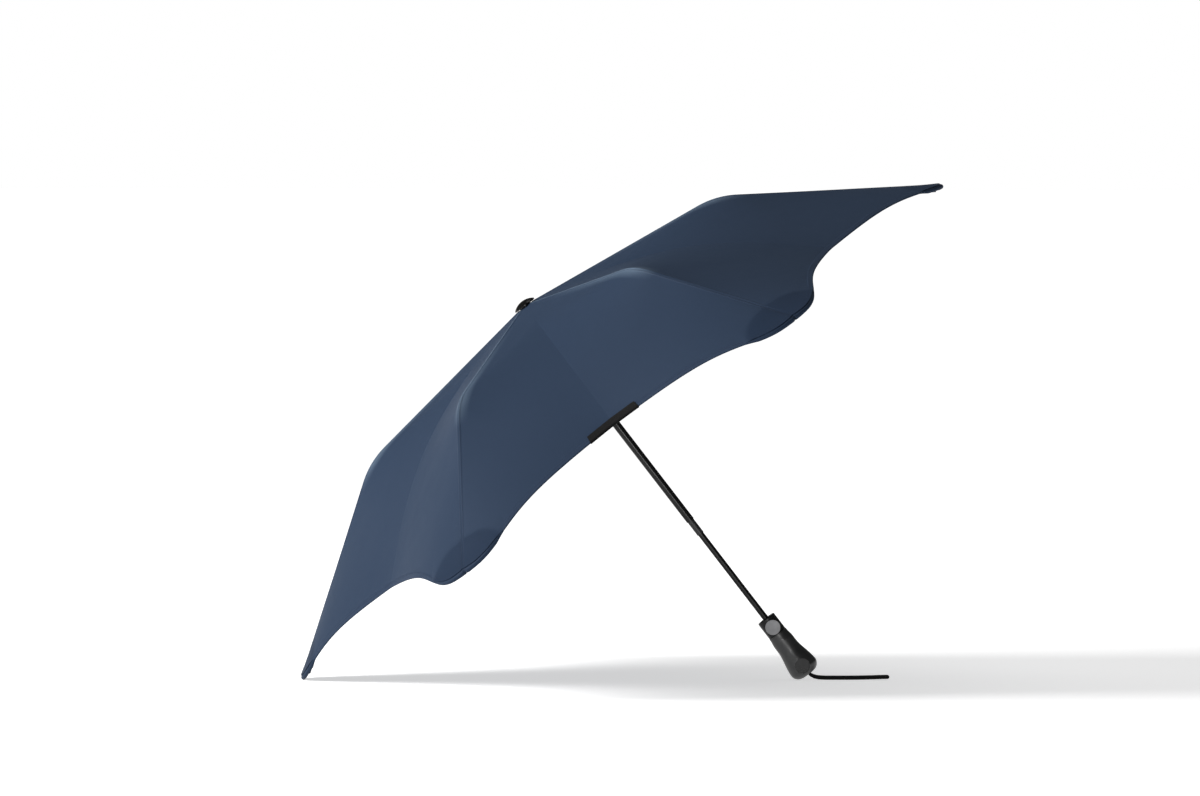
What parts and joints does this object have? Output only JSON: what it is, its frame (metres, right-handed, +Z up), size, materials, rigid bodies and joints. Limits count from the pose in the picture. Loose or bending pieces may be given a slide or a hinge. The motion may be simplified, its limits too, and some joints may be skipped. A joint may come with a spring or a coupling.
{
  "type": "folding umbrella",
  "caption": "Folding umbrella, open: telescoping shaft, two-section ribs on a sliding runner, blunt rounded tips, push-button handle and wrist strap.",
  "frame": {"origin": "middle of the bounding box on the ground plane", "axes": "+Z up from the ground, +Y to the back along the canopy's long horizontal width, +X to the right, toward the handle's end; the shaft leans 37.7 degrees from +Z toward -X at its crown"},
  "size_m": [0.764, 0.8594, 0.5931],
  "materials": {
    "gloss_black": "gloss",
    "black_nylon": "satin",
    "spring_wire": "bright",
    "black_tube": "gloss black",
    "satin_black": "satin",
    "grip_rubber": "soft touch",
    "button_grey": "satin",
    "strap_webbing": "woven",
    "label_black": "woven",
    "rib_steel": "satin black",
    "rib_fibre": "smooth",
    "spreader_nylon": "satin",
    "canopy_fabric": "woven, satin sheen"
  },
  "bodies": {
    "handle_and_lower_tube": {"handle_core": "black_nylon", "handle_collar": "satin_black", "handle_grip": "grip_rubber", "grip_discs": "satin_black", "strap_pin": "spring_wire", "wrist_strap": "strap_webbing", "lower_tube": "black_tube", "tube_plug": "black_nylon", "shaft_spring": "spring_wire", "button_spring": "spring_wire"},
    "button": {"button": "button_grey"},
    "upper_shaft": {"top_cap": "gloss_black", "crown": "black_nylon", "crown_ring": "spring_wire", "upper_tube": "black_tube", "reducer_bush": "black_nylon"},
    "runner": {"runner": "black_nylon"},
    "inner_rib_0": {"inner_rib_0": "rib_steel", "canopy_inner_0": "canopy_fabric"},
    "outer_rib_0": {"outer_rib_0": "rib_fibre", "tip_spreader_0": "spreader_nylon", "canopy_outer_0": "canopy_fabric"},
    "strut_0": {"strut_0": "rib_steel"},
    "control_rod_0": {"control_rod_0": "spring_wire"},
    "inner_rib_1": {"inner_rib_1": "rib_steel", "canopy_inner_1": "canopy_fabric"},
    "outer_rib_1": {"outer_rib_1": "rib_fibre", "tip_spreader_1": "spreader_nylon", "canopy_outer_1": "canopy_fabric"},
    "strut_1": {"strut_1": "rib_steel"},
    "control_rod_1": {"control_rod_1": "spring_wire"},
    "inner_rib_2": {"inner_rib_2": "rib_steel", "canopy_inner_2": "canopy_fabric"},
    "outer_rib_2": {"outer_rib_2": "rib_fibre", "tip_spreader_2": "spreader_nylon", "canopy_outer_2": "canopy_fabric"},
    "strut_2": {"strut_2": "rib_steel"},
    "control_rod_2": {"control_rod_2": "spring_wire"},
    "inner_rib_3": {"inner_rib_3": "rib_steel", "canopy_inner_3": "canopy_fabric"},
    "outer_rib_3": {"outer_rib_3": "rib_fibre", "tip_spreader_3": "spreader_nylon", "canopy_outer_3": "canopy_fabric"},
    "strut_3": {"strut_3": "rib_steel"},
    "control_rod_3": {"control_rod_3": "spring_wire"},
    "inner_rib_4": {"inner_rib_4": "rib_steel", "canopy_inner_4": "canopy_fabric"},
    "outer_rib_4": {"outer_rib_4": "rib_fibre", "tip_spreader_4": "spreader_nylon", "canopy_outer_4": "canopy_fabric", "edge_label": "label_black"},
    "strut_4": {"strut_4": "rib_steel"},
    "control_rod_4": {"control_rod_4": "spring_wire"},
    "inner_rib_5": {"inner_rib_5": "rib_steel", "canopy_inner_5": "canopy_fabric"},
    "outer_rib_5": {"outer_rib_5": "rib_fibre", "tip_spreader_5": "spreader_nylon", "canopy_outer_5": "canopy_fabric"},
    "strut_5": {"strut_5": "rib_steel"},
    "control_rod_5": {"control_rod_5": "spring_wire"}
  },
  "joints": [
    {"name": "button_press", "type": "slide", "parent": "handle_and_lower_tube", "child": "button", "axis": [0, 1, 0], "range_m": [0, 0.0025], "stiffness_N_per_m": 300, "springref_m": -0.001, "deforming": ["button_spring"]},
    {"name": "shaft_slide", "type": "slide", "parent": "handle_and_lower_tube", "child": "upper_shaft", "axis": [0.6115, 0, -0.7912], "range_m": [0, 0.188], "stiffness_N_per_m": 40, "springref_m": -0.15, "deforming": ["shaft_spring"]},
    {"name": "runner_slide", "type": "slide", "parent": "upper_shaft", "child": "runner", "axis": [0.6115, 0, -0.7912], "range_m": [0, 0.12981], "deforming": ["canopy_inner_0", "canopy_outer_0", "tip_spreader_0", "canopy_inner_1", "canopy_outer_1", "tip_spreader_1", "canopy_inner_2", "canopy_outer_2", "tip_spreader_2", "canopy_inner_3", "canopy_outer_3", "tip_spreader_3", "canopy_inner_4", "canopy_outer_4", "tip_spreader_4", "canopy_inner_5", "canopy_outer_5", "tip_spreader_5", "edge_label"]},
    {"name": "crown_hinge_0", "type": "hinge", "parent": "upper_shaft", "child": "inner_rib_0", "pos_m": [-0.09771, 0, 0.44616], "axis": [0, 1, 0], "range_deg": [0, 80.25]},
    {"name": "knee_hinge_0", "type": "hinge", "parent": "inner_rib_0", "child": "outer_rib_0", "pos_m": [0.11356, 0, 0.57274], "axis": [0, -1, 0], "range_deg": [0, 204.65]},
    {"name": "strut_hinge_0", "type": "hinge", "parent": "runner", "child": "strut_0", "pos_m": [-0.03692, 0.0041, 0.36014], "axis": [0, -1, 0], "range_deg": [0, 48.23]},
    {"name": "control_rod_slide_0", "type": "slide", "parent": "inner_rib_0", "child": "control_rod_0", "axis": [-0.8665, 0, -0.4992], "range_m": [0, 0.012]},
    {"name": "crown_hinge_1", "type": "hinge", "parent": "upper_shaft", "child": "inner_rib_1", "pos_m": [-0.10325, 0.01212, 0.44188], "axis": [-0.6852, 0.5, -0.5296], "range_deg": [0, 80.25]},
    {"name": "knee_hinge_1", "type": "hinge", "parent": "inner_rib_1", "child": "outer_rib_1", "pos_m": [0.01127, 0.22393, 0.49368], "axis": [0.6852, -0.5, 0.5296], "range_deg": [0, 204.65]},
    {"name": "strut_hinge_1", "type": "hinge", "parent": "runner", "child": "strut_1", "pos_m": [-0.04348, 0.01028, 0.35507], "axis": [0.6852, -0.5, 0.5296], "range_deg": [0, 48.23]},
    {"name": "control_rod_slide_1", "type": "slide", "parent": "inner_rib_1", "child": "control_rod_1", "axis": [-0.4745, -0.8581, -0.1963], "range_m": [0, 0.012]},
    {"name": "crown_hinge_2", "type": "hinge", "parent": "upper_shaft", "child": "inner_rib_2", "pos_m": [-0.11433, 0.01212, 0.43332], "axis": [-0.6852, -0.5, -0.5296], "range_deg": [0, 80.25]},
    {"name": "knee_hinge_2", "type": "hinge", "parent": "inner_rib_2", "child": "outer_rib_2", "pos_m": [-0.19332, 0.22393, 0.33556], "axis": [0.6852, 0.5, 0.5296], "range_deg": [0, 204.65]},
    {"name": "strut_hinge_2", "type": "hinge", "parent": "runner", "child": "strut_2", "pos_m": [-0.051, 0.00618, 0.34926], "axis": [0.6852, 0.5, 0.5296], "range_deg": [0, 48.23]},
    {"name": "control_rod_slide_2", "type": "slide", "parent": "inner_rib_2", "child": "control_rod_2", "axis": [0.3095, -0.8581, 0.4097], "range_m": [0, 0.012]},
    {"name": "crown_hinge_3", "type": "hinge", "parent": "upper_shaft", "child": "inner_rib_3", "pos_m": [-0.11987, 0, 0.42904], "axis": [0, -1, 0], "range_deg": [0, 80.25]},
    {"name": "knee_hinge_3", "type": "hinge", "parent": "inner_rib_3", "child": "outer_rib_3", "pos_m": [-0.29561, 0, 0.2565], "axis": [0, 1, 0], "range_deg": [0, 204.65]},
    {"name": "strut_hinge_3", "type": "hinge", "parent": "runner", "child": "strut_3", "pos_m": [-0.05195, -0.0041, 0.34852], "axis": [0, 1, 0], "range_deg": [0, 48.23]},
    {"name": "control_rod_slide_3", "type": "slide", "parent": "inner_rib_3", "child": "control_rod_3", "axis": [0.7015, 0, 0.7126], "range_m": [0, 0.012]},
    {"name": "crown_hinge_4", "type": "hinge", "parent": "upper_shaft", "child": "inner_rib_4", "pos_m": [-0.11433, -0.01212, 0.43332], "axis": [0.6852, -0.5, 0.5296], "range_deg": [0, 80.25]},
    {"name": "knee_hinge_4", "type": "hinge", "parent": "inner_rib_4", "child": "outer_rib_4", "pos_m": [-0.19332, -0.22393, 0.33556], "axis": [-0.6852, 0.5, -0.5296], "range_deg": [0, 204.65]},
    {"name": "strut_hinge_4", "type": "hinge", "parent": "runner", "child": "strut_4", "pos_m": [-0.04538, -0.01028, 0.3536], "axis": [-0.6852, 0.5, -0.5296], "range_deg": [0, 48.23]},
    {"name": "control_rod_slide_4", "type": "slide", "parent": "inner_rib_4", "child": "control_rod_4", "axis": [0.3095, 0.8581, 0.4097], "range_m": [0, 0.012]},
    {"name": "crown_hinge_5", "type": "hinge", "parent": "upper_shaft", "child": "inner_rib_5", "pos_m": [-0.10325, -0.01212, 0.44188], "axis": [0.6852, 0.5, 0.5296], "range_deg": [0, 80.25]},
    {"name": "knee_hinge_5", "type": "hinge", "parent": "inner_rib_5", "child": "outer_rib_5", "pos_m": [0.01127, -0.22393, 0.49368], "axis": [-0.6852, -0.5, -0.5296], "range_deg": [0, 204.65]},
    {"name": "strut_hinge_5", "type": "hinge", "parent": "runner", "child": "strut_5", "pos_m": [-0.03787, -0.00618, 0.35941], "axis": [-0.6852, -0.5, -0.5296], "range_deg": [0, 48.23]},
    {"name": "control_rod_slide_5", "type": "slide", "parent": "inner_rib_5", "child": "control_rod_5", "axis": [-0.4745, 0.8581, -0.1963], "range_m": [0, 0.012]}
  ],
  "couplings": [
    {"joint": "control_rod_slide_0", "follows": "runner_slide", "ratio": 0.09244},
    {"joint": "crown_hinge_0", "follows": "runner_slide", "rad_per_m": 10.79},
    {"joint": "knee_hinge_0", "follows": "runner_slide", "rad_per_m": 27.516},
    {"joint": "strut_hinge_0", "follows": "runner_slide", "rad_per_m": 6.4847},
    {"joint": "control_rod_slide_1", "follows": "runner_slide", "ratio": 0.09244},
    {"joint": "crown_hinge_1", "follows": "runner_slide", "rad_per_m": 10.79},
    {"joint": "knee_hinge_1", "follows": "runner_slide", "rad_per_m": 27.516},
    {"joint": "strut_hinge_1", "follows": "runner_slide", "rad_per_m": 6.4847},
    {"joint": "control_rod_slide_2", "follows": "runner_slide", "ratio": 0.09244},
    {"joint": "crown_hinge_2", "follows": "runner_slide", "rad_per_m": 10.79},
    {"joint": "knee_hinge_2", "follows": "runner_slide", "rad_per_m": 27.516},
    {"joint": "strut_hinge_2", "follows": "runner_slide", "rad_per_m": 6.4847},
    {"joint": "control_rod_slide_3", "follows": "runner_slide", "ratio": 0.09244},
    {"joint": "crown_hinge_3", "follows": "runner_slide", "rad_per_m": 10.79},
    {"joint": "knee_hinge_3", "follows": "runner_slide", "rad_per_m": 27.516},
    {"joint": "strut_hinge_3", "follows": "runner_slide", "rad_per_m": 6.4847},
    {"joint": "control_rod_slide_4", "follows": "runner_slide", "ratio": 0.09244},
    {"joint": "crown_hinge_4", "follows": "runner_slide", "rad_per_m": 10.79},
    {"joint": "knee_hinge_4", "follows": "runner_slide", "rad_per_m": 27.516},
    {"joint": "strut_hinge_4", "follows": "runner_slide", "rad_per_m": 6.4847},
    {"joint": "control_rod_slide_5", "follows": "runner_slide", "ratio": 0.09244},
    {"joint": "crown_hinge_5", "follows": "runner_slide", "rad_per_m": 10.79},
    {"joint": "knee_hinge_5", "follows": "runner_slide", "rad_per_m": 27.516},
    {"joint": "strut_hinge_5", "follows": "runner_slide", "rad_per_m": 6.4847}
  ]
}
